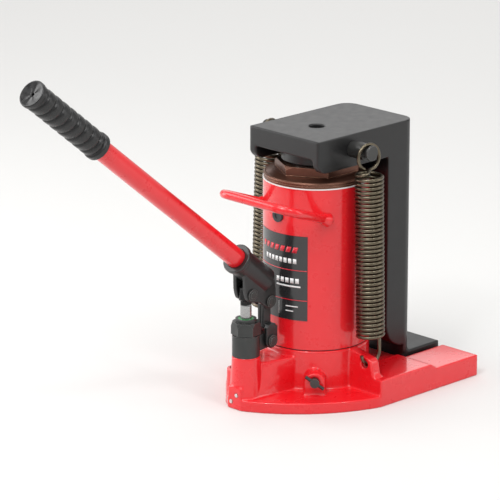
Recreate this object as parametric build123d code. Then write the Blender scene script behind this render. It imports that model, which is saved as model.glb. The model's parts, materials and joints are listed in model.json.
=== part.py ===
from build123d import *
import math
import os

# Hydraulic toe jack. Millimetres. +Z is up, +X points to the toe and -X to the pump, and the origin is
# on the floor under the centre of the ram. "near" parts lie at -Y and "far" parts at +Y.

# ---- driving dimensions: claw -------------------------------------------------------------------
HEAD_TOP = 300.0
HEAD_THICK = 22.0
HEAD_HALF_WIDTH = 53.3
HEAD_FRONT = -51.5
CHEEK_INNER = 43.5
CHEEK_BOTTOM = 263.0
CHEEK_CORNER = 13.0
COLUMN_FRONT = 60.0
COLUMN_REAR = 104.0
COLUMN_CORNER = 16.0
TOE_TOP = 28.7
TOE_BOTTOM = 3.0
TOE_FRONT = 88.0
TOE_REAR = 150.0
TOE_HALF_WIDTH = 51.5
HEEL_RADIUS = 28.0
HEEL_Z = 38.0
SCREW_SEAT = HEAD_TOP - 17.0
SCREW_HEAD_RADIUS = 8.0

# ---- base casting -------------------------------------------------------------------------------
LEG_OUTER = 109.5
LEG_INNER = 55.5
LEG_FRONT = -7.5
LEG_REAR = 152.0
LEG_TOP = 30.6
LEG_STEP_X = 75.0
LEG_STEP_LENGTH = 8.0
LEG_LOW_TOP = 24.5
WEB_REAR = 85.0
WEB_TOP = 24.5
WING_TOP = 12.5
CUP_RADIUS = 60.5
CUP_TOP = 57.1
NOSE_X = -127.8
NOSE_HALF = 10.0
NOSE_PAD_TOP = 25.5
NEAR_WING_HALF = 72.0
FAR_WING_HALF = 61.5
FOOT_RADIUS = 18.7
NECK_TOP = 50.0
LUG_BACK = 5.0
LUG_OUTER = 96.0

# ---- cylinder, reservoir and ram ----------------------------------------------------------------
TUBE_RADIUS = 59.25
TUBE_BORE = 55.3
TUBE_TOP = 242.2
GASKET = 1.2
SPIGOT_RADIUS = 55.1
CYL_RADIUS = 40.0
CYL_BORE = 30.0
CYL_BOTTOM = 24.0
CYL_TOP = 226.0
RIM_RADIUS = 58.5
RIM_TOP = 249.6
NUT_HEX_RADIUS = 47.8
NUT_TOP = 262.0
RAM_RADIUS = 28.0
RAM_BOTTOM = 40.0
RAM_HEAD_RADIUS = 39.3
RAM_HEAD_BOTTOM = 265.0
PISTON_TOP = 66.0
SLIDE_GAP = 0.05

# ---- pump and linkage ---------------------------------------------------------------------------
PUMP_X = -109.5
PUMP_RADIUS = 15.4
BOSS_TOP = 59.1
PUMP_TOP = 83.0
GLAND_TOP = 98.3
COLLAR_TOP = 102.0
COLLAR_RADIUS = 11.7
PLUNGER_RADIUS = 6.2
PLUNGER_BOTTOM = 45.0
EYE_BOTTOM = 116.5
EYE_TOP = 140.6
PLUNGER_PIN = (PUMP_X, 130.4)
LINK_PIN = (-81.2, 117.1)
LOWER_PIN = (-81.2, 72.1)
PIN_RADIUS = 4.0
EAR_INNER = 5.0
EAR_OUTER = 10.0
LINK_THICK = 4.5

# ---- socket, lever and grip ---------------------------------------------------------------------
LEVER_ANGLE = 39.1
MOUTH = (-124.5, 173.6)
LEVER_RADIUS = 11.2
SOCKET_RADIUS = 15.2
MOUTH_RING_RADIUS = 17.2
SOCKET_DEPTH = 46.0
GRIP_START = 257.0
GRIP_END = 374.0
GRIP_RADIUS = 14.6
EYE_POCKET = 14.0

# ---- release valve ------------------------------------------------------------------------------
VALVE_ANGLE = 223.9
VALVE_FACE = 79.5
VALVE_Z = 28.5
VALVE_WIDTH = 23.0
VALVE_TOP = 38.0
SPINDLE = VALVE_FACE - 13.8
BAR_REACH = 18.0
BAR_RADIUS = 1.9
BAR_LENGTH = 24.5
BAR_TILT = 55.0
RELIEF_Y = 18.0
RELIEF_RADIUS = 4.5

# ---- filler plug --------------------------------------------------------------------------------
FILLER_Z = 209.0
FILLER_RADIUS = 7.0

# ---- return springs -----------------------------------------------------------------------------
WIRE_RADIUS = 2.0
COIL_RADIUS = 14.2
COIL_PITCH = 4.7
COIL_TURNS = 40
SPRING_PIN = (3.5, 283.2)
SPRING_PIN_RADIUS = 6.6
SPRING_TOP = (3.5, 77.0, 278.0)
SPRING_FOOT = (2.5, 83.0, 56.0)
HOOK_Z = 44.0
LUG_HOLE_RADIUS = 4.9
COIL_START = 17.3


# ---- helpers ------------------------------------------------------------------------------------
def post(radius, z0, z1, x=0.0, y=0.0):
    """Upright cylinder."""
    return Pos(x, y, (z0 + z1) / 2) * Cylinder(radius, z1 - z0)


def ring(outer, inner, z0, z1, x=0.0, y=0.0):
    """Upright tube."""
    return post(outer, z0, z1, x, y) - post(inner, z0 - 1, z1 + 1, x, y)


def cross_rod(radius, x, z, y0, y1):
    """Cylinder along Y through the point (x, z)."""
    return Pos(x, (y0 + y1) / 2, z) * Rot(90, 0, 0) * Cylinder(radius, y1 - y0)


def long_rod(radius, y, z, x0, x1):
    """Cylinder along X through the point (y, z)."""
    return Pos((x0 + x1) / 2, y, z) * Rot(0, 90, 0) * Cylinder(radius, x1 - x0)


def block(x0, x1, y0, y1, z0, z1):
    """Box from its limits."""
    return Pos((x0 + x1) / 2, (y0 + y1) / 2, (z0 + z1) / 2) * Box(x1 - x0, y1 - y0, z1 - z0)


def side_plate(edges, y0, y1):
    """Prism between y0 and y1 from a closed outline drawn at Y = 0 in the XZ plane."""
    face = Pos(0, y0, 0) * Face(Wire(edges))
    return extrude(face, amount=y1 - y0, dir=(0, 1, 0))


def side_polygon(points, y0, y1):
    """Prism between y0 and y1 from XZ corner points."""
    return side_plate(Polyline(*[(x, 0, z) for x, z in points], close=True).edges(), y0, y1)


def plan_prism(edges, z0, z1):
    """Prism between z0 and z1 from a closed outline drawn at Z = 0."""
    return extrude(Pos(0, 0, z0) * Face(Wire(edges)), amount=z1 - z0, dir=(0, 0, 1))


def hex_prism(radius, z0, z1, turn=0.0, x=0.0, y=0.0):
    """Upright hexagon with its corners on the given circle."""
    hexagon = RegularPolygon(radius, 6, rotation=turn)
    return Pos(x, y, z0) * extrude(hexagon, amount=z1 - z0)


def mirrored(shape):
    """The same piece on the other side of the XZ plane."""
    return mirror(shape, about=Plane.XZ)


def along_lever(shape, distance=0.0):
    """Puts a piece modelled along +Z onto the lever's axis, measured from the socket's mouth."""
    x = MOUTH[0] - distance * math.cos(math.radians(LEVER_ANGLE))
    z = MOUTH[1] + distance * math.sin(math.radians(LEVER_ANGLE))
    return Pos(x, 0, z) * Rot(0, LEVER_ANGLE - 90, 0) * shape


def along_valve(shape, distance=0.0):
    """Puts a piece modelled along +Z onto the release valve's axis, measured from the ram's axis."""
    return Pos(*valve_point(distance), VALVE_Z) * Rot(0, 0, VALVE_ANGLE) * Rot(0, 90, 0) * shape


def valve_point(distance):
    """Plan position on the release valve's axis."""
    angle = math.radians(VALVE_ANGLE)
    return distance * math.cos(angle), distance * math.sin(angle)


# ---- base casting -------------------------------------------------------------------------------
def footprint():
    """Half-round nose, straight legs and the slot that the toe drops into."""
    start = (NOSE_X, NOSE_HALF)
    shoulder = (-11.6, 108.6)
    side = ThreePointArc(start, (-79.3, FAR_WING_HALF), shoulder)
    other = ThreePointArc((shoulder[0], -shoulder[1]), (-79.3, -NEAR_WING_HALF), (start[0], -start[1]))
    rest = Polyline(
        shoulder,
        (LEG_FRONT, LEG_OUTER),
        (LEG_REAR, LEG_OUTER),
        (LEG_REAR, LEG_INNER),
        (WEB_REAR, LEG_INNER),
        (WEB_REAR, -LEG_INNER),
        (LEG_REAR, -LEG_INNER),
        (LEG_REAR, -LEG_OUTER),
        (LEG_FRONT, -LEG_OUTER),
        (shoulder[0], -shoulder[1]),
    )
    nose = Line((start[0], -start[1]), start)
    return side.edges() + rest.edges() + other.edges() + nose.edges()


def leg():
    """Near leg with its lower rear stretch."""
    step_end = LEG_STEP_X + LEG_STEP_LENGTH
    profile = [
        (LEG_FRONT, 0),
        (LEG_REAR, 0),
        (LEG_REAR, LEG_LOW_TOP),
        (step_end, LEG_LOW_TOP),
        (LEG_STEP_X, LEG_TOP),
        (LEG_FRONT, LEG_TOP),
    ]
    return side_polygon(profile, -LEG_OUTER, -LEG_INNER)


def spring_lug():
    """Near upright plate that the return spring hooks into."""
    root = -48.0
    plate = Polyline(
        (LEG_FRONT, root, WING_TOP),
        (LEG_FRONT, root, 57.0),
        (LEG_FRONT, -64.0, 57.0),
        (LEG_FRONT, -68.5, 55.5),
        (LEG_FRONT, -90.0, 51.0),
        (LEG_FRONT, -LUG_OUTER + 3, 48.5),
        (LEG_FRONT, -LUG_OUTER, LEG_TOP + 4),
        (LEG_FRONT, -LUG_OUTER - 5, LEG_TOP - 1),
        (LEG_FRONT, -LUG_OUTER - 7, WING_TOP),
        close=True,
    )
    return extrude(Face(Wire(plate.edges())), amount=LUG_BACK - LEG_FRONT, dir=(1, 0, 0))


def neck():
    """Drafted bridge that carries the pump in front of the cup."""
    foot = [(PUMP_X - 9.5, 20.5), (-50, 22.6), (-50, -22.6), (PUMP_X - 9.5, -20.5)]
    top = [(PUMP_X - 2.5, 9), (-50, 25.8), (-50, -25.8), (PUMP_X - 2.5, -9)]
    faces = []
    for points, z in ((foot, 0), (top, NECK_TOP)):
        faces.append(Face(Wire(Polyline(*[(x, y, z) for x, y in points], close=True).edges())))
    bridge = loft(faces)
    foot_height = BOSS_TOP
    foot_cone = Pos(PUMP_X, 0, foot_height / 2) * Cone(FOOT_RADIUS, 15.7, foot_height)
    cut = block(-200, NOSE_X, -60, 60, -1, 100)
    pad = block(NOSE_X, PUMP_X, -NOSE_HALF, NOSE_HALF, 0, NOSE_PAD_TOP)
    relief_boss = Pos(PUMP_X, 16, 20.5) * Cone(11.5, 9.8, 41)
    return bridge + (foot_cone - cut) + pad + relief_boss


def valve_boss():
    """Arch-shaped boss for the release valve."""
    half = VALVE_WIDTH / 2
    length = VALVE_FACE - 40
    spring_line = VALVE_TOP - half
    arch = Pos(VALVE_Z - spring_line, 0, 0) * Cylinder(half, length)
    skirt = Pos(VALVE_Z - spring_line / 2, 0, 0) * Box(spring_line, VALVE_WIDTH, length)
    return along_valve(arch + skirt, VALVE_FACE - length / 2)


def passages():
    """Drilled oil ways and bores inside the casting."""
    bores = [
        post(CYL_RADIUS + 0.1, CYL_BOTTOM - 2, CUP_TOP + 20),
        post(12.1, 30, BOSS_TOP + 1, PUMP_X),
        post(9.5, 22, 31, PUMP_X),
        post(RELIEF_RADIUS + 0.1, 20, 60, PUMP_X, RELIEF_Y),
        long_rod(2.25, 5, 8.2, NOSE_X - 1, -12),
        post(2.0, 8.2, CYL_BOTTOM, -14, 5),
        post(2.0, 8.2, 24, PUMP_X - 3.5, 5),
        long_rod(2.25, -3.3, 16.8, NOSE_X - 1, -46),
        post(2.0, 16.8, 64, -47.5, -3.3),
        post(2.0, 16.8, 24, PUMP_X + 4, -3.3),
        along_valve(Cylinder(4.1, 34), VALVE_FACE - 16.9),
        along_valve(Cylinder(2.8, 6), 44.0),
        along_valve(Cylinder(1.8, 6), 40.0),
        post(1.8, VALVE_Z, 70, *valve_point(48)),
        block(PUMP_X - 2, PUMP_X + 2, 8, RELIEF_Y, 23, 27),
    ]
    return bores


def base_casting():
    body = plan_prism(footprint(), 0, WING_TOP)
    body += post(CUP_RADIUS, 0, CUP_TOP)
    body += block(LEG_FRONT, WEB_REAR, -LEG_INNER, LEG_INNER, 0, WEB_TOP)
    body += leg()
    body += mirrored(leg())
    body += spring_lug()
    body += mirrored(spring_lug())
    body += neck()
    body += valve_boss()
    body += post(SPIGOT_RADIUS, CUP_TOP - 1, 66)
    for bore in passages():
        body -= bore
    lug_hole = long_rod(LUG_HOLE_RADIUS, -SPRING_FOOT[1], HOOK_Z, LEG_FRONT - 1, LUG_BACK + 1)
    body -= lug_hole
    body -= mirrored(lug_hole)
    return body


# ---- cylinder, reservoir and head nut -----------------------------------------------------------
def reservoir_tube():
    tube = ring(TUBE_RADIUS, TUBE_BORE, CUP_TOP + GASKET, TUBE_TOP)
    return tube - long_rod(5.6, 0, FILLER_Z, -70, -45)


def top_nut():
    """Head nut: a ridged rim on the reservoir tube, a cone and a hexagon, with a spigot inside."""
    seat = TUBE_TOP + GASKET
    body = post(RIM_RADIUS, seat, RIM_TOP - 1.2)
    body += Pos(0, 0, RIM_TOP - 0.6) * Cone(RIM_RADIUS, RIM_RADIUS - 1.2, 1.2)
    body -= ring(RIM_RADIUS + 1, RIM_RADIUS - 0.8, seat + 2.2, seat + 3.0)
    body += Pos(0, 0, RIM_TOP + 1.4) * Cone(RIM_RADIUS - 3.0, NUT_HEX_RADIUS - 1.0, 2.8)
    hexagon = hex_prism(NUT_HEX_RADIUS, RIM_TOP, NUT_TOP)
    chamfer_cone = Pos(0, 0, (RIM_TOP + NUT_TOP) / 2) * Cone(
        NUT_HEX_RADIUS + 9, NUT_HEX_RADIUS - 3.4, NUT_TOP - RIM_TOP
    )
    body += hexagon & chamfer_cone
    body += post(TUBE_BORE - 0.1, CYL_TOP, seat + 1)
    body += post(CYL_BORE - 0.1, CYL_TOP - 12, CYL_TOP + 1)
    body -= post(RAM_RADIUS + SLIDE_GAP, CYL_TOP - 13, NUT_TOP + 1)
    body -= post(32.0, NUT_TOP - 4.5, NUT_TOP + 1)
    return body


def label_plate():
    """Curved name plate on the front of the reservoir tube."""
    shell = ring(TUBE_RADIUS + 0.45, TUBE_RADIUS + 0.02, 92.0, 189.0)
    half_arc = math.radians(35.6)
    reach = 80.0
    wedge = Polyline(
        (0, 0),
        (-reach * math.cos(half_arc), reach * math.sin(half_arc)),
        (-reach, 0),
        (-reach * math.cos(half_arc), -reach * math.sin(half_arc)),
        close=True,
    )
    return shell & plan_prism(wedge.edges(), 90, 192)


def carry_handle():
    """Bent rod welded to the reservoir tube at both ends."""
    weld = (-26.0, 48.0, 206.0)
    corner = (-100.0, 57.0, 232.6)
    route = FilletPolyline(
        (weld[0], -weld[1], weld[2]),
        (corner[0], -corner[1], corner[2]),
        corner,
        weld,
        radius=19.0,
    )
    rod = Part()
    for edge in route.edges():
        rod += sweep(Plane(origin=edge @ 0, z_dir=edge % 0) * Circle(5.0), path=edge)
    bead = Cone(8.6, 4.8, 10.0)
    near_end = Plane(origin=route @ 0, z_dir=route % 0)
    far_end = Plane(origin=route @ 1, z_dir=-(route % 1))
    for end in (near_end, far_end):
        rod += end.location * Pos(0, 0, 12.0) * bead
    return rod - post(TUBE_RADIUS, 150, 260)


def passage_plugs():
    """Two steel plugs pressed into the drilled oil ways at the nose."""
    plugs = []
    for y, z in ((5, 8.2), (-3.3, 16.8)):
        plugs.append(long_rod(2.2, y, z, NOSE_X - 0.4, NOSE_X + 7))
    return Compound(children=plugs)


# ---- pump ---------------------------------------------------------------------------------------
def pump_cylinder():
    """Screwed-in pump barrel with the rear lug that carries the link."""
    barrel = post(PUMP_RADIUS, BOSS_TOP, PUMP_TOP, PUMP_X)
    thread = post(12.0, 31.2, BOSS_TOP + 1, PUMP_X)
    spigot = post(11.0, PUMP_TOP - 1, PUMP_TOP + 10, PUMP_X)
    x, z = LOWER_PIN
    lug = cross_rod(8.3, x, z, -7.7, 7.7)
    lug += side_polygon([(PUMP_X + 6, 62), (x, z - 8.3), (x, z + 8.3), (PUMP_X + 6, 81)], -7.7, 7.7)
    shape = barrel + thread + spigot + lug
    shape -= cross_rod(PIN_RADIUS + SLIDE_GAP, x, z, -9, 9)
    return shape - post(PLUNGER_RADIUS + SLIDE_GAP, 28, 120, PUMP_X)


def pump_gland_nut():
    turn = VALVE_ANGLE - 0.7 - 30
    body = hex_prism(16.6, PUMP_TOP + 0.6, GLAND_TOP, turn, PUMP_X)
    dome = Pos(PUMP_X, 0, (PUMP_TOP + GLAND_TOP) / 2 + 0.3) * Cone(19.5, 15.0, GLAND_TOP - PUMP_TOP - 0.6)
    body = body & dome
    body += post(COLLAR_RADIUS, GLAND_TOP - 0.5, COLLAR_TOP, PUMP_X)
    body -= post(11.05, PUMP_TOP, PUMP_TOP + 10.5, PUMP_X)
    body -= post(9.0, PUMP_TOP + 12, COLLAR_TOP + 1, PUMP_X)
    return body - post(PLUNGER_RADIUS + 0.35, PUMP_TOP, COLLAR_TOP + 1, PUMP_X)


def pump_gland_seal():
    return ring(8.95, PLUNGER_RADIUS + SLIDE_GAP, PUMP_TOP + 12.1, COLLAR_TOP - 0.3, PUMP_X)


def plunger():
    """Pump plunger with a flat eye; the eye's hole is wider than the pin, as the pin swings on an arc."""
    px, pz = PLUNGER_PIN
    rod = post(PLUNGER_RADIUS, PLUNGER_BOTTOM, EYE_BOTTOM, px)
    rod -= ring(PLUNGER_RADIUS + 1, PLUNGER_RADIUS - 1.6, PLUNGER_BOTTOM + 4, PLUNGER_BOTTOM + 8, px)
    half = EAR_INNER - 0.3
    neck_down = post(PLUNGER_RADIUS, EYE_BOTTOM, pz, px) & block(px - 9, px + 9, -half, half, EYE_BOTTOM - 1, pz)
    eye = post(8.0, pz - 8.0, EYE_TOP, px) + post(8.0, pz - 8.0, EYE_TOP, px + 0.4)
    eye = eye & cross_rod(EYE_TOP - pz, px + 0.2, pz, -half, half)
    eye += neck_down
    slot_low, slot_high = pz - 4.95, pz + 4.35
    slot_front, slot_rear = px - 4.95, px + 6.2
    radius = (slot_high - slot_low) / 2
    middle = (slot_high + slot_low) / 2
    slot = cross_rod(radius, slot_front + radius, middle, -8, 8)
    slot += cross_rod(radius, slot_rear - radius, middle, -8, 8)
    slot += block(slot_front + radius, slot_rear - radius, -8, 8, slot_low, slot_high)
    return rod + eye - slot


def plunger_seal():
    return ring(PLUNGER_RADIUS + 0.03, PLUNGER_RADIUS - 1.6, PLUNGER_BOTTOM + 4, PLUNGER_BOTTOM + 8, PUMP_X)


def link_strap_near():
    """Forged strap: upright between the socket's ears, then stepped outwards around the pump lug."""
    ux, uz = LINK_PIN
    lx, lz = LOWER_PIN
    step = 91.0
    outer_low = -12.6
    inner_low = -12.6 + LINK_THICK
    upper = cross_rod(7.2, ux, uz, -LINK_THICK - 0.2, -0.2)
    upper += block(ux - 5.6, ux + 5.6, -LINK_THICK - 0.2, -0.2, step, uz)
    lower = side_polygon(
        [
            (lx - 8.5, lz),
            (lx - 8.5, step - 3.5),
            (lx - 6.5, step - 1.5),
            (lx + 6.5, step - 1.5),
            (lx + 8.5, step - 3.5),
            (lx + 8.5, lz),
        ],
        outer_low,
        inner_low,
    )
    lower += cross_rod(8.5, lx, lz, outer_low, inner_low)
    web = block(lx - 5.6, lx + 5.6, outer_low, -0.2, step - 5.0, step)
    strap = upper + lower + web
    strap -= cross_rod(PIN_RADIUS + SLIDE_GAP, ux, uz, -20, 0)
    return strap - cross_rod(PIN_RADIUS, lx, lz, -20, 0)


def pin_with_head(x, z, half_grip, head_radius=6.6, head=2.6):
    """Cross pin with its head on the near side and a grooved tail on the far side."""
    shank = cross_rod(PIN_RADIUS, x, z, -half_grip - head, half_grip + 3.2)
    shank -= cross_rod(PIN_RADIUS + 1, x, z, half_grip + 0.2, half_grip + 1.4) - cross_rod(
        PIN_RADIUS - 0.7, x, z, half_grip - 1, half_grip + 2
    )
    rim = cross_rod(head_radius, x, z, -half_grip - head + 0.8, -half_grip)
    return shank + rim


def pin_clip(x, z, half_grip):
    """Snap ring on a pin's far end."""
    disc = cross_rod(6.2, x, z, half_grip + 0.25, half_grip + 1.35)
    gap = block(x - 1.6, x + 1.6, half_grip - 1, half_grip + 3, z - 9, z - 2)
    return disc - cross_rod(PIN_RADIUS - 0.7, x, z, half_grip - 1, half_grip + 3) - gap


# ---- socket, lever and grip ---------------------------------------------------------------------
def ear_outline():
    """Ear: a hull round the two pin bosses and up to the barrel."""
    px, pz = PLUNGER_PIN
    lx, lz = LINK_PIN
    points = [(-120.3, 163), (-119.6, 136)]
    for angle in (190, 220, 250):
        points.append((px + 8.6 * math.cos(math.radians(angle)), pz + 8.6 * math.sin(math.radians(angle))))
    points.append((-97.5, 118.5))
    for angle in (225, 255, 285, 315, 345):
        points.append((lx + 8.6 * math.cos(math.radians(angle)), lz + 8.6 * math.sin(math.radians(angle))))
    points += [(-72.8, 124), (-73.6, 140), (-79.0, 148.5), (-92, 160)]
    return points


def handle_socket():
    barrel = along_lever(Cylinder(SOCKET_RADIUS, SOCKET_DEPTH + 8), -(SOCKET_DEPTH + 8) / 2)
    collar = along_lever(Cylinder(MOUTH_RING_RADIUS, 5.0), -2.5)
    bore = along_lever(Cylinder(LEVER_RADIUS + 0.08, SOCKET_DEPTH), -SOCKET_DEPTH / 2 + 0.01)
    ears = side_polygon(ear_outline(), -EAR_OUTER, -EAR_INNER)
    ears += side_polygon(ear_outline(), EAR_INNER, EAR_OUTER)
    back = block(-150, -73.2, -30, 30, 100, 260)
    shape = (barrel & back) + collar + ears
    px, pz = PLUNGER_PIN
    shape -= block(-124, -66, -EAR_INNER, EAR_INNER, 100, pz + 3.6)
    shape -= cross_rod(EYE_POCKET, px, pz, -EAR_INNER, EAR_INNER)
    shape -= bore
    for x, z in (PLUNGER_PIN, LINK_PIN):
        shape -= cross_rod(PIN_RADIUS, x, z, -20, 20)
    return shape


def lever_tube():
    length = GRIP_END - 6.0 + SOCKET_DEPTH - 1.0
    tube = Cylinder(LEVER_RADIUS, length) - Cylinder(LEVER_RADIUS - 2.5, length + 2)
    return along_lever(tube, -SOCKET_DEPTH + 1.0 + length / 2)


def lever_grip():
    """Rubber sleeve with a flange at each end and a closed end face."""
    length = GRIP_END - GRIP_START
    sleeve = Cylinder(GRIP_RADIUS, length)
    inner_flange = Pos(0, 0, -length / 2 + 4.5) * Cylinder(GRIP_RADIUS + 0.9, 7.0)
    end_flange = Pos(0, 0, length / 2 - 2.5) * Cylinder(GRIP_RADIUS + 0.9, 5.0)
    grip = sleeve + inner_flange + end_flange
    for i in range(9):
        z = -length / 2 + 17.5 + i * 10.6
        groove = Cylinder(GRIP_RADIUS + 1, 2.6) - Cylinder(GRIP_RADIUS - 1.2, 3)
        grip -= Pos(0, 0, z) * groove
    grip -= Pos(0, 0, -3.0) * Cylinder(LEVER_RADIUS, length - 6.0 + 0.001)
    grip -= Pos(0, 0, length / 2 + 16.0) * Sphere(19.0)
    grip -= Cylinder(2.0, length + 1)
    return along_lever(grip, GRIP_START + length / 2)


# ---- release valve and filler plug --------------------------------------------------------------
def release_screw():
    """Valve spindle with a round head, drilled across for its bar."""
    spindle = Cylinder(4.0, 30)
    spindle -= Pos(0, 0, -6) * (Cylinder(5, 3.2) - Cylinder(2.6, 4))
    point = Pos(0, 0, -17) * Cone(1.4, 4.0, 4)
    head = Pos(0, 0, 17.5) * Cylinder(5.2, 6.6)
    screw = spindle + point + head
    screw -= Pos(0, 0, BAR_REACH) * Rot(0, 0, BAR_TILT) * Rot(0, 90, 0) * Cylinder(BAR_RADIUS + 0.01, 14)
    return along_valve(screw, SPINDLE)


def release_tbar():
    bar = Rot(0, 0, BAR_TILT) * Rot(0, 90, 0) * Cylinder(BAR_RADIUS, BAR_LENGTH)
    return along_valve(bar, SPINDLE + BAR_REACH)


def release_seal():
    seal = Cylinder(4.02, 3.0) - Cylinder(2.62, 4)
    return along_valve(seal, SPINDLE - 6)


def filler_plug():
    """Rubber plug pushed into the filler hole."""
    face = TUBE_RADIUS + 2.6
    head = long_rod(FILLER_RADIUS, 0, FILLER_Z, -face, -TUBE_RADIUS + 1.5) - post(TUBE_RADIUS + 0.02, 190, 220)
    dimple = long_rod(3.4, 0, FILLER_Z, -face - 1, -face + 0.9)
    stem = long_rod(5.5, 0, FILLER_Z, -TUBE_RADIUS - 1, -TUBE_BORE + 4.0)
    return head + stem - dimple


# ---- claw and ram -------------------------------------------------------------------------------
def claw():
    """One heavy C-shaped piece: head plate with two cheeks, column and toe."""
    heel_z = HEEL_Z + HEEL_RADIUS
    r = CHEEK_CORNER
    front_edge = HEAD_TOP - HEAD_THICK - 4.0
    diagonal = math.cos(math.radians(45))
    outline = (
        Line((HEAD_FRONT, 0, HEAD_TOP), (HEAD_FRONT, 0, front_edge)).edges()
        + ThreePointArc(
            (HEAD_FRONT, 0, front_edge),
            (HEAD_FRONT + r * 0.34, 0, CHEEK_BOTTOM + 3.0),
            (HEAD_FRONT + r, 0, CHEEK_BOTTOM),
        ).edges()
        + Polyline((HEAD_FRONT + r, 0, CHEEK_BOTTOM), (COLUMN_FRONT, 0, CHEEK_BOTTOM), (COLUMN_FRONT, 0, heel_z)).edges()
        + ThreePointArc(
            (COLUMN_FRONT, 0, heel_z),
            (TOE_FRONT - HEEL_RADIUS * diagonal, 0, heel_z - HEEL_RADIUS * diagonal),
            (TOE_FRONT, 0, heel_z - HEEL_RADIUS),
        ).edges()
        + Polyline(
            (TOE_FRONT, 0, heel_z - HEEL_RADIUS),
            (TOE_FRONT, 0, TOE_BOTTOM),
            (COLUMN_REAR, 0, TOE_BOTTOM),
            (COLUMN_REAR, 0, HEAD_TOP),
            (HEAD_FRONT, 0, HEAD_TOP),
        ).edges()
    )
    body = side_plate(outline, -HEAD_HALF_WIDTH, HEAD_HALF_WIDTH)
    plan = block(HEAD_FRONT - 5, COLUMN_REAR, -HEAD_HALF_WIDTH, HEAD_HALF_WIDTH, 0, HEAD_TOP)
    rear_corners = plan.edges().filter_by(Axis.Z).group_by(Axis.X)[-1]
    body = body & fillet(rear_corners, COLUMN_CORNER)
    body -= block(HEAD_FRONT - 1, COLUMN_FRONT, -CHEEK_INNER, CHEEK_INNER, CHEEK_BOTTOM - 1, HEAD_TOP - HEAD_THICK)
    for sign in (-1, 1):
        y0, y1 = sorted((sign * TOE_HALF_WIDTH, sign * 60))
        body -= block(TOE_FRONT - 1, TOE_REAR, y0, y1, 0, TOE_TOP)
    body += block(TOE_FRONT, TOE_REAR, -TOE_HALF_WIDTH, TOE_HALF_WIDTH, TOE_BOTTOM, TOE_TOP)
    body -= post(5.5, HEAD_TOP - HEAD_THICK - 1, HEAD_TOP)
    body -= post(SCREW_HEAD_RADIUS + 0.75, SCREW_SEAT, HEAD_TOP + 1)
    x, z = SPRING_PIN
    for sign in (-1, 1):
        y0, y1 = sorted((sign * CHEEK_INNER, sign * 60))
        body -= cross_rod(5.0, x, z, y0, y1)
    return body


def ram():
    """Solid ram with its piston, drilled for the head screw."""
    rod = post(RAM_RADIUS, RAM_BOTTOM, RAM_HEAD_BOTTOM)
    piston = post(CYL_BORE - 0.08, RAM_BOTTOM, PISTON_TOP)
    shape = rod + piston
    shape -= ring(40, 25.0, 45, 53)
    shape -= ring(40, 27.5, 57, 62)
    return shape - post(5.02, 240, 270)


def ram_head():
    disc = post(RAM_HEAD_RADIUS, RAM_HEAD_BOTTOM, HEAD_TOP - HEAD_THICK)
    disc = chamfer(disc.edges().group_by(Axis.Z)[-1], 1.2)
    return disc - post(5.4, RAM_HEAD_BOTTOM - 1, HEAD_TOP)


def ram_screw():
    """Socket-head screw that holds the ram to the claw."""
    head_top = SCREW_SEAT + 9.0
    head = post(SCREW_HEAD_RADIUS, SCREW_SEAT, head_top) - hex_prism(4.6, head_top - 5.0, head_top + 1)
    return head + post(5.0, 244, SCREW_SEAT + 0.5)


def spring_pin_near():
    """Stepped pin for the upper end of a return spring."""
    x, z = SPRING_PIN
    wall = -HEAD_HALF_WIDTH
    tail = cross_rod(5.0, x, z, wall, -CHEEK_INNER - 2.0)
    collar = cross_rod(9.5, x, z, wall - 20.2, wall)
    shaft = cross_rod(SPRING_PIN_RADIUS, x, z, wall - 28.0, wall)
    head = cross_rod(8.8, x, z, wall - 29.2, wall - 26.5)
    head = chamfer(head.edges().filter_by(GeomType.CIRCLE), 0.7)
    return tail + collar + shaft + head


def spring_wire(route):
    """Wire of a spring end, a hair thinner than the coil so that the two join cleanly."""
    return sweep(Plane(origin=route @ 0, z_dir=route % 0) * Circle(WIRE_RADIUS - 0.02), path=route)


def return_spring_near():
    """Close-wound tension spring: hooked through the base lug below, a full ring round the pin above."""
    top = Vector(SPRING_TOP[0], -SPRING_TOP[1], SPRING_TOP[2])
    foot = Vector(SPRING_FOOT[0], -SPRING_FOOT[1], SPRING_FOOT[2])
    span = (top - foot).length
    coil_length = COIL_PITCH * COIL_TURNS
    start = COIL_START
    finish = start + coil_length
    r = COIL_RADIUS
    helix = Pos(0, 0, start) * Helix(COIL_PITCH, coil_length, r)
    coil = sweep(Plane(origin=helix @ 0, z_dir=helix % 0) * Circle(WIRE_RADIUS), path=helix, is_frenet=True)
    hook = spring_wire(ThreePointArc((r, 0, 0), (0, 0, -r), (-r, 0, 0)))
    hook += spring_wire(Line((r, 0, start + 1.1), (r, 0, 0)))
    ring_foot = span - r
    loop = spring_wire(ThreePointArc((r, -0.6, finish), (r / 2 + 0.2, r / 2, finish + 1), (0, 0, finish + 2)))
    loop += spring_wire(ThreePointArc((-4, 0, ring_foot + 0.55), (0, 0, span + r), (0.6, 0, ring_foot)))
    frame = Plane(origin=foot, x_dir=(1, 0, 0), z_dir=(top - foot).normalized())
    return frame.location * (coil + hook + loop)


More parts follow.
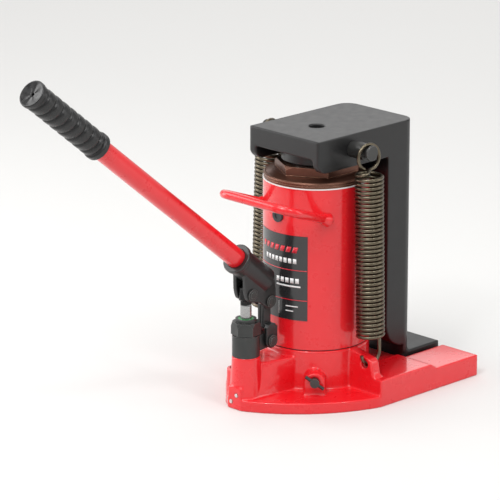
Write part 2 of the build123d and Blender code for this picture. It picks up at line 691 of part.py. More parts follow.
# ---- write every sub-part -----------------------------------------------------------------------
def parts():
    px, pz = PLUNGER_PIN
    lx, lz = LINK_PIN
    bx, bz = LOWER_PIN
    near_strap = link_strap_near()
    near_pin = spring_pin_near()
    near_spring = return_spring_near()
    relief_screw = post(RELIEF_RADIUS, 36.7, 41.4, PUMP_X, RELIEF_Y)
    relief_screw -= hex_prism(2.4, 38.4, 44, 0, PUMP_X, RELIEF_Y)
    balls = Compound(children=[
        Pos(PUMP_X - 3.5, 5, 23.6) * Sphere(2.5),
        Pos(PUMP_X + 4, -3.3, 23.6) * Sphere(2.5),
    ])
    return {
        "base_casting": base_casting(),
        "reservoir_tube": reservoir_tube(),
        "tube_gasket": ring(TUBE_RADIUS - 0.9, TUBE_BORE, CUP_TOP, CUP_TOP + GASKET),
        "tube_top_ring": ring(TUBE_RADIUS + 0.3, TUBE_BORE, TUBE_TOP, TUBE_TOP + GASKET),
        "inner_cylinder": ring(CYL_RADIUS, CYL_BORE, CYL_BOTTOM, CYL_TOP) - along_valve(Cylinder(1.8, 20), 35),
        "cylinder_seal_ring": ring(CYL_RADIUS, CYL_BORE, CYL_BOTTOM - 2, CYL_BOTTOM),
        "top_nut": top_nut(),
        "ram_wiper": ring(31.95, RAM_RADIUS + SLIDE_GAP, NUT_TOP - 4.5, NUT_TOP + 0.6),
        "label_plate": label_plate(),
        "carry_handle": carry_handle(),
        "passage_plugs": passage_plugs(),
        "pump_cylinder": pump_cylinder(),
        "pump_seat_washer": ring(11.8, 7.0, 30, 31.2, PUMP_X),
        "pump_gland_nut": pump_gland_nut(),
        "pump_gland_seal": pump_gland_seal(),
        "check_balls": balls,
        "relief_ball": Pos(PUMP_X, RELIEF_Y, 24.0) * Sphere(3.5),
        "relief_spring": ring(4.2, 2.6, 27.6, 36.6, PUMP_X, RELIEF_Y),
        "relief_screw": relief_screw,
        "release_ball": along_valve(Sphere(2.6), SPINDLE - 21.8),
        "release_screw": release_screw(),
        "release_tbar": release_tbar(),
        "release_seal": release_seal(),
        "filler_plug": filler_plug(),
        "plunger": plunger(),
        "plunger_seal": plunger_seal(),
        "link_strap_near": near_strap,
        "link_strap_far": mirrored(near_strap),
        "lower_pin": pin_with_head(bx, bz, 12.6),
        "lower_pin_clip": pin_clip(bx, bz, 12.6),
        "handle_socket": handle_socket(),
        "plunger_pin": pin_with_head(px, pz, EAR_OUTER),
        "link_pin": pin_with_head(lx, lz, EAR_OUTER),
        "handle_pin_clips": Compound(children=[pin_clip(px, pz, EAR_OUTER), pin_clip(lx, lz, EAR_OUTER)]),
        "lever_tube": lever_tube(),
        "lever_grip": lever_grip(),
        "claw": claw(),
        "ram": ram(),
        "ram_head": ram_head(),
        "ram_screw": ram_screw(),
        "piston_seal": ring(CYL_BORE - 0.03, 25.0, 45, 53),
        "piston_guide_ring": ring(CYL_BORE - 0.03, 27.5, 57, 62),
        "spring_pin_near": near_pin,
        "spring_pin_far": mirrored(near_pin),
        "return_spring_near": near_spring,
        "return_spring_far": mirrored(near_spring),
    }


os.makedirs("parts", exist_ok=True)
for name, shape in parts().items():
    export_step(shape, "parts/" + name + ".step")
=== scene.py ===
import json
import math

import bmesh
import bpy
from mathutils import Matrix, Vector


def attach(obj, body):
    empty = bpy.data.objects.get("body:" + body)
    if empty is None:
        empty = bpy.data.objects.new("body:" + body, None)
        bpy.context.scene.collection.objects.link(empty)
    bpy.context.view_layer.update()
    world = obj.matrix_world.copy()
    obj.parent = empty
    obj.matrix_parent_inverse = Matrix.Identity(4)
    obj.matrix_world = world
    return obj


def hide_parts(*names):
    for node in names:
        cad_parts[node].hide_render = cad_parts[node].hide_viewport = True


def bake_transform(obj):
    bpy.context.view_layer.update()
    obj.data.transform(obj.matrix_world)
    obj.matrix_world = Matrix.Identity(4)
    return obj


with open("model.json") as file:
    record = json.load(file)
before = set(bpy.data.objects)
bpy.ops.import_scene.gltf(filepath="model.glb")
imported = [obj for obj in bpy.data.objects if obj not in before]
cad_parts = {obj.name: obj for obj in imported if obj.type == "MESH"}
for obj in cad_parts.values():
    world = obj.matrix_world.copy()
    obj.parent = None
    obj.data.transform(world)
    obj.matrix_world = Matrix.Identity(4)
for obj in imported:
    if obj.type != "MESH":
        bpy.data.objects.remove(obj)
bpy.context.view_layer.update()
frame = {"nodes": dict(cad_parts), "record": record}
MM = 0.001


# ---- camera, floor and light --------------------------------------------------------------------
VIEW_AZIMUTH = math.radians(-44.6)
VIEW_ELEVATION = math.radians(16.63)
CAMERA_PLACE = (-2.6655, -2.5983, 1.2684)
FOCAL_LENGTH = 250.6
FLOOR_SIZE = 16.0


def towards_camera(turn=0.0):
    """Level unit vector from the jack to the camera, turned to the right as the camera sees it."""
    angle = math.atan2(-math.cos(VIEW_AZIMUTH), math.sin(VIEW_AZIMUTH)) + math.radians(turn)
    return Vector((math.cos(angle), math.sin(angle), 0.0))


def make_camera():
    data = bpy.data.cameras.new("camera")
    data.lens = FOCAL_LENGTH
    data.clip_end = 60.0
    camera = bpy.data.objects.new("camera", data)
    bpy.context.scene.collection.objects.link(camera)
    level = math.cos(VIEW_ELEVATION)
    back = towards_camera() * level + Vector((0.0, 0.0, math.sin(VIEW_ELEVATION)))
    camera.location = CAMERA_PLACE
    camera.rotation_mode = "QUATERNION"
    camera.rotation_quaternion = (-back).to_track_quat("-Z", "Y")
    bpy.context.scene.camera = camera


def softbox(name, place, target, width, height, power):
    data = bpy.data.lights.new(name, "AREA")
    data.shape = "RECTANGLE"
    data.size = width
    data.size_y = height
    data.energy = power
    lamp = bpy.data.objects.new(name, data)
    bpy.context.scene.collection.objects.link(lamp)
    lamp.location = place
    lamp.rotation_mode = "QUATERNION"
    lamp.rotation_quaternion = (Vector(target) - Vector(place)).to_track_quat("-Z", "Y")


def sun(name, height, turn, strength, spread):
    data = bpy.data.lights.new(name, "SUN")
    data.energy = strength
    data.angle = math.radians(spread)
    lamp = bpy.data.objects.new(name, data)
    bpy.context.scene.collection.objects.link(lamp)
    level = math.cos(math.radians(height))
    away = towards_camera(turn) * level + Vector((0.0, 0.0, math.sin(math.radians(height))))
    lamp.rotation_mode = "QUATERNION"
    lamp.rotation_quaternion = (-away).to_track_quat("-Z", "Y")


# name: turn from the camera in degrees, distance, height, width, height of the panel, power
SOFTBOXES = {
    "front_light": (-30.0, 1.1, 1.75, 0.35, 0.9, 5.5),
    "side_light": (38.0, 1.2, 1.6, 0.35, 0.8, 4.5),
    "left_light": (-105.0, 1.5, 0.7, 0.8, 1.5, 12.0),
    "right_light": (80.0, 1.6, 0.8, 0.6, 1.4, 5.0),
    "left_spark": (-22.0, 1.2, 1.5, 0.12, 0.12, 2.6),
    "right_spark": (42.0, 1.2, 1.7, 0.12, 0.12, 2.2),
}
LIT_POINT = (-0.08, 0.0, 0.14)
BACK_POINT = (0.0, 0.0, 0.2)


def make_lights():
    for name, (turn, distance, high, width, height, power) in SOFTBOXES.items():
        place = towards_camera(turn) * distance
        softbox(name, (place.x, place.y, high), LIT_POINT, width, height, power)
    back = towards_camera(180.0) * 2.6
    softbox("back_light", (back.x, back.y, 1.5), BACK_POINT, 3.2, 1.2, 13.0)
    softbox("top_light", (0.25, 0.25, 1.9), LIT_POINT, 0.9, 0.9, 6.0)
    sun("fill", 58.0, -35.0, 1.25, 50.0)


def make_world():
    world = bpy.data.worlds.new("studio")
    world.use_nodes = True
    background = world.node_tree.nodes["Background"]
    background.inputs["Color"].default_value = (1.0, 0.99, 0.975, 1.0)
    background.inputs["Strength"].default_value = 0.48
    bpy.context.scene.world = world


def make_floor(material):
    mesh = bpy.data.meshes.new("floor")
    half = FLOOR_SIZE / 2
    corners = [(-half, -half, 0), (half, -half, 0), (half, half, 0), (-half, half, 0)]
    mesh.from_pydata(corners, [], [(0, 1, 2, 3)])
    mesh.materials.append(material)
    floor = bpy.data.objects.new("floor", mesh)
    bpy.context.scene.collection.objects.link(floor)


# ---- material building blocks -------------------------------------------------------------------
class Surface:
    """A Principled material that is put together step by step."""

    def __init__(self, name, **values):
        self.material = bpy.data.materials.new(name)
        self.material.use_nodes = True
        self.tree = self.material.node_tree
        self.shader = self.tree.nodes["Principled BSDF"]
        self.coordinates = self.add("ShaderNodeTexCoord").outputs["Object"]
        self.normal = None
        for socket, value in values.items():
            self.shader.inputs[socket.replace("_", " ")].default_value = value

    def add(self, kind, **settings):
        node = self.tree.nodes.new(kind)
        for name, value in settings.items():
            setattr(node, name, value)
        return node

    def join(self, source, target):
        self.tree.links.new(source, target)

    def stretched(self, scale):
        mapping = self.add("ShaderNodeMapping")
        mapping.inputs["Scale"].default_value = scale
        self.join(self.coordinates, mapping.inputs["Vector"])
        return mapping.outputs["Vector"]

    def noise(self, scale, detail=4.0, roughness=0.55, stretch=None):
        texture = self.add("ShaderNodeTexNoise")
        texture.inputs["Scale"].default_value = scale
        texture.inputs["Detail"].default_value = detail
        texture.inputs["Roughness"].default_value = roughness
        source = self.stretched(stretch) if stretch else self.coordinates
        self.join(source, texture.inputs["Vector"])
        return texture.outputs["Fac"]

    def spread(self, source, low, high, to_low, to_high):
        step = self.add("ShaderNodeMapRange")
        for socket, value in zip(("From Min", "From Max", "To Min", "To Max"), (low, high, to_low, to_high)):
            step.inputs[socket].default_value = value
        self.join(source, step.inputs["Value"])
        return step.outputs["Result"]

    def product(self, first, second):
        step = self.add("ShaderNodeMath", operation="MULTIPLY")
        self.join(first, step.inputs[0])
        self.join(second, step.inputs[1])
        return step.outputs[0]

    def blend(self, factor, first, second):
        """Colour mix; each side is a colour or another step's output."""
        mix = self.add("ShaderNodeMix", data_type="RGBA")
        self.join(factor, mix.inputs[0])
        for slot, value in ((6, first), (7, second)):
            if isinstance(value, tuple):
                mix.inputs[slot].default_value = (*value, 1.0)
            else:
                self.join(value, mix.inputs[slot])
        return mix.outputs[2]

    def colour(self, source):
        self.join(source, self.shader.inputs["Base Color"])

    def rough(self, source, low, high):
        self.join(self.spread(source, 0.3, 0.7, low, high), self.shader.inputs["Roughness"])

    def round_edges(self, radius):
        """Rounds the look of sharp edges."""
        bevel = self.add("ShaderNodeBevel", samples=4)
        bevel.inputs["Radius"].default_value = radius
        self.normal = bevel.outputs["Normal"]

    def edge_mask(self, radius, width=0.06):
        """1 on convex and concave edges and 0 on open faces."""
        bevel = self.add("ShaderNodeBevel", samples=4)
        bevel.inputs["Radius"].default_value = radius
        geometry = self.add("ShaderNodeNewGeometry")
        dot = self.add("ShaderNodeVectorMath", operation="DOT_PRODUCT")
        self.join(bevel.outputs["Normal"], dot.inputs[0])
        self.join(geometry.outputs["Normal"], dot.inputs[1])
        return self.spread(dot.outputs["Value"], 1.0 - width, 0.999, 1.0, 0.0)

    def bump(self, height, distance, strength=1.0):
        step = self.add("ShaderNodeBump")
        step.inputs["Strength"].default_value = strength
        step.inputs["Distance"].default_value = distance
        self.join(height, step.inputs["Height"])
        if self.normal:
            self.join(self.normal, step.inputs["Normal"])
        self.normal = step.outputs["Normal"]

    def done(self):
        if self.normal:
            self.join(self.normal, self.shader.inputs["Normal"])
        return self.material


def red_paint(name, cast):
    """Glossy red enamel, with the grain of the casting under it where cast is true."""
    surface = Surface(name, Coat_Weight=0.8, Coat_Roughness=0.04, Coat_IOR=1.5, Specular_IOR_Level=0.35)
    drift = surface.noise(22.0, 3.0)
    surface.colour(surface.blend(drift, (0.73, 0.007, 0.013), (0.80, 0.012, 0.020)))
    surface.rough(surface.noise(60.0, 5.0), 0.24, 0.36)
    if not cast:
        surface.round_edges(0.5 * MM)
    surface.bump(surface.noise(420.0, 2.0), 0.02 * MM, 0.3)
    if cast:
        surface.bump(surface.noise(150.0, 4.0, 0.6), 0.3 * MM, 0.45)
    return surface.done()


def black_paint(name, cast):
    """Satin black enamel, a little thinner and greyer on the edges."""
    surface = Surface(name, Coat_Weight=0.35 if cast else 0.12, Coat_Roughness=0.12, Specular_IOR_Level=0.42)
    shade = surface.blend(surface.noise(30.0, 4.0), (0.008, 0.008, 0.0085), (0.012, 0.012, 0.0125))
    wear = surface.product(surface.edge_mask(0.7 * MM), surface.noise(160.0, 4.0))
    surface.colour(surface.blend(wear, shade, (0.11, 0.105, 0.10)))
    surface.rough(surface.noise(90.0, 5.0), 0.38, 0.44)
    surface.round_edges(0.7 * MM)
    surface.bump(surface.noise(520.0, 3.0), 0.05 * MM, 0.5)
    if cast:
        surface.bump(surface.noise(210.0, 4.0, 0.6), 0.3 * MM, 0.6)
    return surface.done()


def oxide_steel(name, tone, worn, roughness=0.38):
    """Chemically darkened machined steel with bright edges and faint turning marks."""
    surface = Surface(name, Metallic=0.75)
    shade = surface.noise(45.0, 5.0)
    darker = tuple(0.65 * c for c in tone)
    patchy = surface.blend(shade, darker, tone)
    surface.colour(surface.blend(surface.edge_mask(0.45 * MM), patchy, worn))
    surface.rough(surface.noise(130.0, 5.0), roughness - 0.07, roughness + 0.08)
    surface.round_edges(0.4 * MM)
    surface.bump(surface.noise(60.0, 3.0, 0.5, (1.0, 1.0, 26.0)), 0.02 * MM, 0.4)
    return surface.done()


def zinc_wire(name):
    """Yellow-passivated spring steel with a faint shift of hue."""
    surface = Surface(name, Metallic=1.0)
    hue = surface.blend(surface.noise(85.0, 4.0), (0.095, 0.080, 0.055), (0.21, 0.18, 0.13))
    stain = surface.spread(surface.noise(240.0, 3.0), 0.55, 0.75, 0.0, 0.6)
    surface.colour(surface.blend(stain, hue, (0.16, 0.11, 0.085)))
    surface.rough(surface.noise(300.0, 4.0), 0.24, 0.40)
    surface.bump(surface.noise(900.0, 2.0), 0.02 * MM, 0.4)
    return surface.done()


def ground_steel(name, roughness=0.16, dark=0.62, light=0.80, painted_shade_from=None):
    """Bright ground steel, with painted shade (near black) above a height where one is given."""
    surface = Surface(name, Metallic=1.0)
    metal = surface.blend(surface.noise(70.0, 4.0), (dark, dark, dark), (light, light, 0.99 * light))
    # painted shade: near black above the given height, standing in for the ears' shadow on the plunger's eye
    if painted_shade_from:
        place = surface.add("ShaderNodeSeparateXYZ")
        surface.join(surface.coordinates, place.inputs["Vector"])
        height = surface.spread(place.outputs["Z"], painted_shade_from, painted_shade_from + 1.5 * MM, 0.0, 1.0)
        metal = surface.blend(height, metal, (0.03, 0.03, 0.03))
    surface.colour(metal)
    surface.rough(surface.noise(200.0, 4.0, 0.5, (1.0, 1.0, 12.0)), roughness - 0.05, roughness + 0.08)
    surface.round_edges(0.3 * MM)
    surface.bump(surface.noise(150.0, 3.0, 0.5, (1.0, 1.0, 30.0)), 0.01 * MM, 0.4)
    return surface.done()


def rubber(name, tone, roughness, bright_edges=False):
    """Moulded rubber with a fine skin."""
    surface = Surface(name, Specular_IOR_Level=0.45)
    shade = surface.blend(surface.noise(55.0, 4.0), tone, tuple(1.5 * c for c in tone))
    if bright_edges:
        shade = surface.blend(surface.edge_mask(0.5 * MM), shade, tuple(2.4 * c for c in tone))
    surface.colour(shade)
    surface.rough(surface.noise(160.0, 5.0), roughness - 0.08, roughness + 0.08)
    surface.bump(surface.noise(1300.0, 2.0), 0.04 * MM, 0.5)
    return surface.done()


def plain_film(name, tone, roughness):
    """Printed or moulded plastic of one tone, barely mottled."""
    surface = Surface(name, Coat_Weight=0.4, Coat_Roughness=0.1)
    surface.colour(surface.blend(surface.noise(80.0, 3.0), tone, tuple(min(1.0, 1.12 * c) for c in tone)))
    surface.rough(surface.noise(120.0, 3.0), roughness - 0.05, roughness + 0.05)
    surface.bump(surface.noise(300.0, 2.0), 0.01 * MM, 0.4)
    return surface.done()


def floor_material():
    surface = Surface("floor", Roughness=0.9, Specular_IOR_Level=0.1)
    surface.colour(surface.blend(surface.noise(1.5, 2.0), (0.690, 0.687, 0.679), (0.696, 0.693, 0.685)))
    return surface.done()


# ---- mesh helpers -------------------------------------------------------------------------------
def body_of(node):
    for body, members in frame["record"]["behaviour"]["bodies"].items():
        if node in members:
            return body
    return None


def new_piece(name, vertices, faces, material, body, edges=()):
    """Smooth mesh piece that rides on a body."""
    mesh = bpy.data.meshes.new(name)
    mesh.from_pydata(vertices, list(edges), faces)
    mesh.materials.append(material)
    mesh.update()
    for polygon in mesh.polygons:
        polygon.use_smooth = True
    piece = bpy.data.objects.new(name, mesh)
    bpy.context.scene.collection.objects.link(piece)
    if body:
        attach(piece, body)
    return piece


def softened(node, material, voxel, passes):
    """Copy of a CAD node with rounded edges and filled inner corners, as paint and casting leave them."""
    source = frame["nodes"][node].data
    shell = bmesh.new()
    shell.from_mesh(source)
    bmesh.ops.remove_doubles(shell, verts=shell.verts, dist=0.002 * MM)
    mesh = bpy.data.meshes.new(node + "_skin")
    shell.to_mesh(mesh)
    shell.free()
    piece = bpy.data.objects.new(node + "_skin", mesh)
    bpy.context.scene.collection.objects.link(piece)
    remesh = piece.modifiers.new("remesh", "REMESH")
    remesh.mode = "VOXEL"
    remesh.voxel_size = voxel
    smooth = piece.modifiers.new("smooth", "SMOOTH")
    smooth.factor = 0.5
    smooth.iterations = passes
    graph = bpy.context.evaluated_depsgraph_get()
    result = bpy.data.meshes.new_from_object(piece.evaluated_get(graph))
    piece.modifiers.clear()
    piece.data = result
    result.materials.clear()
    result.materials.append(material)
    for polygon in result.polygons:
        polygon.use_smooth = True
    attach(piece, body_of(node))
    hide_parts(node)
    return piece


def grid_faces(rows, columns, closed):
    """Quads over a grid of points, closed round each row when asked."""
    faces = []
    last = columns if closed else columns - 1
    for r in range(rows - 1):
        for c in range(last):
            n = (c + 1) % columns
            faces.append((r * columns + c, r * columns + n, (r + 1) * columns + n, (r + 1) * columns + c))
    return faces


# ---- return springs -----------------------------------------------------------------------------
WIRE_RADIUS = 2.0 * MM
COIL_RADIUS = 14.2 * MM
COIL_PITCH = 4.7 * MM
COIL_TURNS = 40
COIL_START = 17.3 * MM
STEPS_PER_TURN = 28
RING_TWIST = 0.12
RING_LEAN = 1.2 * MM
SPRING_FOOT = Vector((2.5, 83.0, 56.0)) * MM
SPRING_TOP = Vector((3.5, 77.0, 278.0)) * MM
# the wire's way from the last turn to the middle of the ring, as shares of the coil radius
RING_LEAD = (
    (-0.93, 0.34),
    (-0.99, 0.04),
    (-0.93, -0.22),
    (-0.76, -0.38),
    (-0.52, -0.36),
    (-0.28, -0.20),
    (-0.10, -0.07),
)


def spring_route(span):
    """Wire line in the spring's own frame: hook at the foot, coil, then a ring round the upper pin."""
    r = COIL_RADIUS
    start = COIL_START
    points = []
    for i in range(19):
        angle = math.radians(186.0 + i * (354.0 - 186.0) / 18)
        points.append(Vector((r * math.cos(angle), 0.0, r * math.sin(angle))))
    for share in (0.0, 0.2, 0.4, 0.6):
        points.append(Vector((r, 0.0, share * start)))
    points.append(Vector((r, 0.3 * MM, 0.82 * start)))
    turns = COIL_TURNS - 0.6
    steps = int(turns * STEPS_PER_TURN)
    for i in range(1, steps + 1):
        angle = 2 * math.pi * turns * i / steps
        rise = COIL_PITCH * angle / (2 * math.pi)
        points.append(Vector((r * math.cos(angle), r * math.sin(angle), start + rise)))
    top = points[-1].z
    ring_foot = span - r
    for i, (x, y) in enumerate(RING_LEAD):
        share = (i + 1) / (len(RING_LEAD) + 1)
        points.append(Vector((x * r, y * r, top + (ring_foot - top) * share)))
    for i in range(34):
        angle = math.radians(-84.0 + i * 10.0)
        lean = RING_LEAN * i / 33
        twist = RING_TWIST * r * math.cos(angle)
        points.append(Vector((r * math.cos(angle), lean - twist, span + r * math.sin(angle))))
    return points


def wire_modifier(piece, radius, material):
    """Turns the piece's line into round wire after it has been bent, so that the wire keeps its section."""
    group = bpy.data.node_groups.new(piece.name + "_wire", "GeometryNodeTree")
    group.interface.new_socket("Geometry", in_out="INPUT", socket_type="NodeSocketGeometry")
    group.interface.new_socket("Geometry", in_out="OUTPUT", socket_type="NodeSocketGeometry")
    kinds = (
        "NodeGroupInput",
        "GeometryNodeMeshToCurve",
        "GeometryNodeCurveToMesh",
        "GeometryNodeSetShadeSmooth",
        "GeometryNodeSetMaterial",
        "NodeGroupOutput",
    )
    chain = [group.nodes.new(kind) for kind in kinds]
    for before, after in zip(chain, chain[1:]):
        group.links.new(before.outputs[0], after.inputs[0])
    circle = group.nodes.new("GeometryNodeCurvePrimitiveCircle")
    circle.inputs["Resolution"].default_value = 12
    circle.inputs["Radius"].default_value = radius
    chain[2].inputs["Fill Caps"].default_value = True
    group.links.new(circle.outputs["Curve"], chain[2].inputs["Profile Curve"])
    chain[4].inputs["Material"].default_value = material
    modifier = piece.modifiers.new("wire", "NODES")
    modifier.node_group = group


def make_spring(side, material):
    sign = -1 if side == "near" else 1
    foot = Vector((SPRING_FOOT.x, sign * SPRING_FOOT.y, SPRING_FOOT.z))
    top = Vector((SPRING_TOP.x, sign * SPRING_TOP.y, SPRING_TOP.z))
    axis = (top - foot).normalized()
    across = Vector((1, 0, 0)) - axis * axis.x
    across.normalize()
    out = axis.cross(across)
    span = (top - foot).length
    points = []
    for p in spring_route(span):
        points.append(foot + across * p.x + out * (p.y * -sign) + axis * p.z)
    edges = [(i, i + 1) for i in range(len(points) - 1)]
    spring = new_piece("spring_" + side, points, [], material, None, edges)
    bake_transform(spring)
    wire_modifier(spring, WIRE_RADIUS, material)
    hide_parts("return_spring_" + side)


# ---- grip ---------------------------------------------------------------------------------------
LEVER_ANGLE = math.radians(39.1)
MOUTH = Vector((-124.5, 0.0, 173.6)) * MM
GRIP_START = 257.0
GRIP_LENGTH = 117.0
GRIP_BORE = 11.3
FLANGE_RADIUS = 15.4
FLANGE_LENGTH = 6.5
RIM_LENGTH = 5.2
NECK_RADIUS = 13.5
RIB_ROOT = 12.9
RIB_HEIGHT = 2.0
RIB_PITCH = 12.9
GRIP_COLUMNS = 72
GRIP_STEPS = 300
# end face from the rim to the bottom of the vent hole: distance past the rim and radius
DISH = (
    (0.2, 14.4),
    (-0.1, 13.4),
    (-0.5, 12.0),
    (-1.0, 9.5),
    (-1.4, 6.5),
    (-1.7, 3.6),
    (-1.8, 2.2),
    (-3.4, 1.8),
    (-9.0, 1.7),
)
CREASE = 0.18


def grip_radius(along, turn):
    """Radius in mm of the grip at a distance from its lower end and an angle round it."""
    rim = GRIP_LENGTH - RIM_LENGTH
    if along < 1.0:
        return FLANGE_RADIUS - 1.2 + 1.2 * math.sqrt(max(0.0, along))
    if along < FLANGE_LENGTH:
        return FLANGE_RADIUS
    if along < FLANGE_LENGTH + 1.5:
        return FLANGE_RADIUS - (FLANGE_RADIUS - NECK_RADIUS) * (along - FLANGE_LENGTH) / 1.5
    if along > rim:
        reach = along - rim
        return NECK_RADIUS + 2.0 * min(1.0, reach / 0.8) - 0.45 * max(0.0, reach - 4.4)
    phase = ((along - 9.5) / RIB_PITCH + turn / (2 * math.pi)) % 1.0
    swell = 1.0 - (2.0 * phase - 1.0) ** 4
    fade = max(0.0, min(1.0, (along - FLANGE_LENGTH - 1.5) / 4.0, (rim - along) / 4.0))
    rib = RIB_HEIGHT * swell * (0.72 + 0.28 * phase)
    return RIB_ROOT + rib * fade + (NECK_RADIUS - RIB_ROOT) * (1.0 - fade)


def make_grip(material):
    """Rubber sleeve: rounded flanges, a winding rib and a dished end with a small vent hole."""
    direction = Vector((-math.cos(LEVER_ANGLE), 0.0, math.sin(LEVER_ANGLE)))
    side = Vector((0, 1, 0))
    up = direction.cross(side)
    turns = [2 * math.pi * c / GRIP_COLUMNS for c in range(GRIP_COLUMNS)]
    rings = [[(0.0, GRIP_BORE)] * GRIP_COLUMNS]
    for i in range(GRIP_STEPS + 1):
        along = GRIP_LENGTH * i / GRIP_STEPS
        rings.append([(along, grip_radius(along, turn)) for turn in turns])
    for depth, radius in DISH:
        crease = CREASE if 3.0 < radius < 12.5 else 0.0
        rings.append([(GRIP_LENGTH + depth + crease * math.cos(6 * turn), radius) for turn in turns])
    vertices = []
    for ring in rings:
        for turn, (along, radius) in zip(turns, ring):
            centre = MOUTH + direction * (GRIP_START + along) * MM
            vertices.append(centre + (side * math.cos(turn) + up * math.sin(turn)) * radius * MM)
    faces = grid_faces(len(rings), GRIP_COLUMNS, True)
    last = (len(rings) - 1) * GRIP_COLUMNS
    faces.append(tuple(last + c for c in range(GRIP_COLUMNS)))
    grip = new_piece("grip", vertices, faces, material, "lever")
    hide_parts("lever_grip")


# ---- name plate ---------------------------------------------------------------------------------
TUBE_RADIUS = 59.25
PLATE_LIFT = 0.50
INK_THICK = 0.06
RULE_HALF = 36.5
RULE_THICK = 0.8
LETTER_GAP = 0.34


def plate_mark(name, patches, material):
    """Printed areas as thin curved pads; a patch is (arc from, arc to, low, high, slant) in mm."""
    radius = (TUBE_RADIUS + PLATE_LIFT) * MM
    vertices = []
    faces = []
    for arc0, arc1, low, high, slant in patches:
        columns = max(2, int(abs(arc1 - arc0) / 2.0) + 2)
        base = len(vertices)
        for layer in (0.0, INK_THICK * MM):
            for z, shift in ((low, 0.0), (high, slant)):
                for c in range(columns):
                    arc = arc0 + (arc1 - arc0) * c / (columns - 1) + shift
                    angle = math.pi + arc / TUBE_RADIUS
                    reach = radius + layer
                    vertices.append((reach * math.cos(angle), reach * math.sin(angle), z * MM))
        sheet = 2 * columns
        for c in range(columns - 1):
            top = base + sheet
            faces.append((top + c, top + c + 1, top + columns + c + 1, top + columns + c))
            faces.append((base + c + 1, base + c, base + columns + c, base + columns + c + 1))
            for row, flip in ((0, False), (columns, True)):
                quad = (base + row + c, base + row + c + 1, top + row + c + 1, top + row + c)
                faces.append(quad[::-1] if flip else quad)
        for c, flip in ((0, True), (columns - 1, False)):
            quad = (base + c, base + columns + c, base + sheet + columns + c, base + sheet + c)
            faces.append(quad[::-1] if flip else quad)
    return new_piece(name, vertices, faces, material, "base")


def word(start, length, low, high, slant=0.0, letters=6):
    """A row of plain blocks that stands for a line of print."""
    gap = LETTER_GAP * length / letters
    width = (length - gap * (letters - 1)) / letters
    starts = [start + i * (width + gap) for i in range(letters)]
    return [(arc, arc + width, low, high, slant) for arc in starts]


def bar(start, end, low, thick):
    """One straight printed line."""
    return (start, end, low, low + thick, 0.0)


def make_plate_marks(red, white):
    """Two red rules, a red mark, and plain blocks and bars in place of the print."""
    rules = [bar(-RULE_HALF, RULE_HALF, low, RULE_THICK) for low in (149.1, 114.8)]
    rules += word(-30.0, 54.0, 169.5, 176.0, 2.2, letters=7)
    plate_mark("plate_red", rules, red)
    lines = word(-22.0, 46.0, 157.0, 162.5, letters=8)
    lines += word(-2.0, 29.0, 134.5, 140.0, letters=5)
    lines += [bar(-2.0, 29.0, 129.8, 1.8)]
    for start, long_end, short_end in ((-24.0, -8.0, -14.0), (11.0, 26.0, 20.5)):
        lines += [bar(start, long_end, 107.0, 1.2), bar(start, short_end, 101.5, 1.2)]
    lines += [bar(1.5, 1.9, 97.0, 15.0)]
    plate_mark("plate_white", lines, white)


# ---- put it together ----------------------------------------------------------------------------
bpy.context.scene.view_settings.view_transform = "Standard"
make_camera()
make_world()
make_lights()
make_floor(floor_material())

red_sheet = red_paint("red_enamel", cast=False)
red_cast = red_paint("red_enamel_cast", cast=True)
black_plate = black_paint("black_enamel", cast=False)
black_cast = black_paint("black_enamel_cast", cast=True)
dark_steel = oxide_steel("dark_steel", (0.085, 0.085, 0.083), (0.24, 0.24, 0.235))
pump_steel = oxide_steel("pump_steel", (0.075, 0.078, 0.077), (0.20, 0.20, 0.20), 0.42)
brown_steel = oxide_steel("brown_steel", (0.17, 0.075, 0.05), (0.62, 0.33, 0.22), 0.34)
spring_wire = zinc_wire("zinc_wire")
bright_steel = ground_steel("bright_steel")
plain_steel = ground_steel("plain_steel", 0.30)
# the plunger's eye gets painted shade above 116.5 mm, where the ears shade it
plunger_steel = ground_steel("plunger_steel", 0.24, 0.34, 0.46, 116.5 * MM)
grip_rubber = rubber("grip_rubber", (0.011, 0.011, 0.0115), 0.30, True)
plug_rubber = rubber("plug_rubber", (0.030, 0.030, 0.032), 0.50)
seal_rubber = rubber("seal_rubber", (0.012, 0.012, 0.012), 0.55)
green_seal = rubber("green_seal", (0.035, 0.22, 0.07), 0.35)
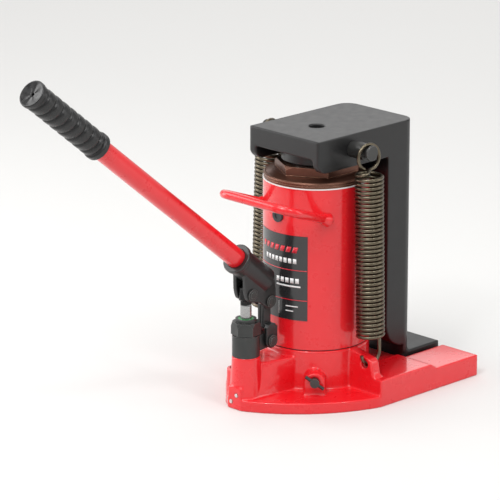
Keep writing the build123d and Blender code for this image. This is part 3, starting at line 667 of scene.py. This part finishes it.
white_ring = plain_film("white_nylon", (0.72, 0.72, 0.71), 0.45)
plate_film = plain_film("plate_film", (0.020, 0.020, 0.021), 0.22)
print_red = plain_film("print_red", (0.70, 0.01, 0.03), 0.30)
print_white = plain_film("print_white", (0.80, 0.80, 0.80), 0.35)

node_materials = {
    "reservoir_tube": red_sheet,
    "carry_handle": red_sheet,
    "lever_tube": red_sheet,
    "base_casting": red_cast,
    "claw": black_plate,
    "ram_head": black_plate,
    "spring_pin_near": dark_steel,
    "spring_pin_far": dark_steel,
    "handle_socket": black_cast,
    "link_strap_near": black_cast,
    "link_strap_far": black_cast,
    "pump_cylinder": pump_steel,
    "pump_gland_nut": pump_steel,
    "top_nut": brown_steel,
    "plunger": plunger_steel,
    "ram": bright_steel,
    "inner_cylinder": plain_steel,
    "passage_plugs": plain_steel,
    "lever_grip": grip_rubber,
    "filler_plug": plug_rubber,
    "pump_gland_seal": green_seal,
    "tube_top_ring": white_ring,
    "piston_guide_ring": white_ring,
    "label_plate": plate_film,
    "return_spring_near": spring_wire,
    "return_spring_far": spring_wire,
}
slot_materials = {
    "black_oxide": dark_steel,
    "polished_steel": bright_steel,
    "plain_steel": plain_steel,
    "seal_rubber": seal_rubber,
}
for entry in frame["record"]["subparts"]:
    part = frame["nodes"][entry["node"]]
    material = node_materials.get(entry["node"]) or slot_materials[entry["material_slot"]]
    part.data.materials.clear()
    part.data.materials.append(material)

# voxel size in mm and smoothing passes of each softened casting or forging
SOFTENED = (
    ("base_casting", red_cast, "red_paint", 1.2, 6),
    ("carry_handle", red_sheet, "red_paint", 0.6, 5),
    ("claw", black_plate, "black_paint", 1.4, 2),
    ("handle_socket", black_cast, "black_paint", 0.6, 4),
    ("link_strap_near", black_cast, "black_paint", 0.5, 3),
    ("link_strap_far", black_cast, "black_paint", 0.5, 3),
)
for node, material, slot, voxel, passes in SOFTENED:
    softened(node, material, voxel * MM, passes)
make_spring("near", spring_wire)
make_spring("far", spring_wire)
make_grip(grip_rubber)
make_plate_marks(print_red, print_white)
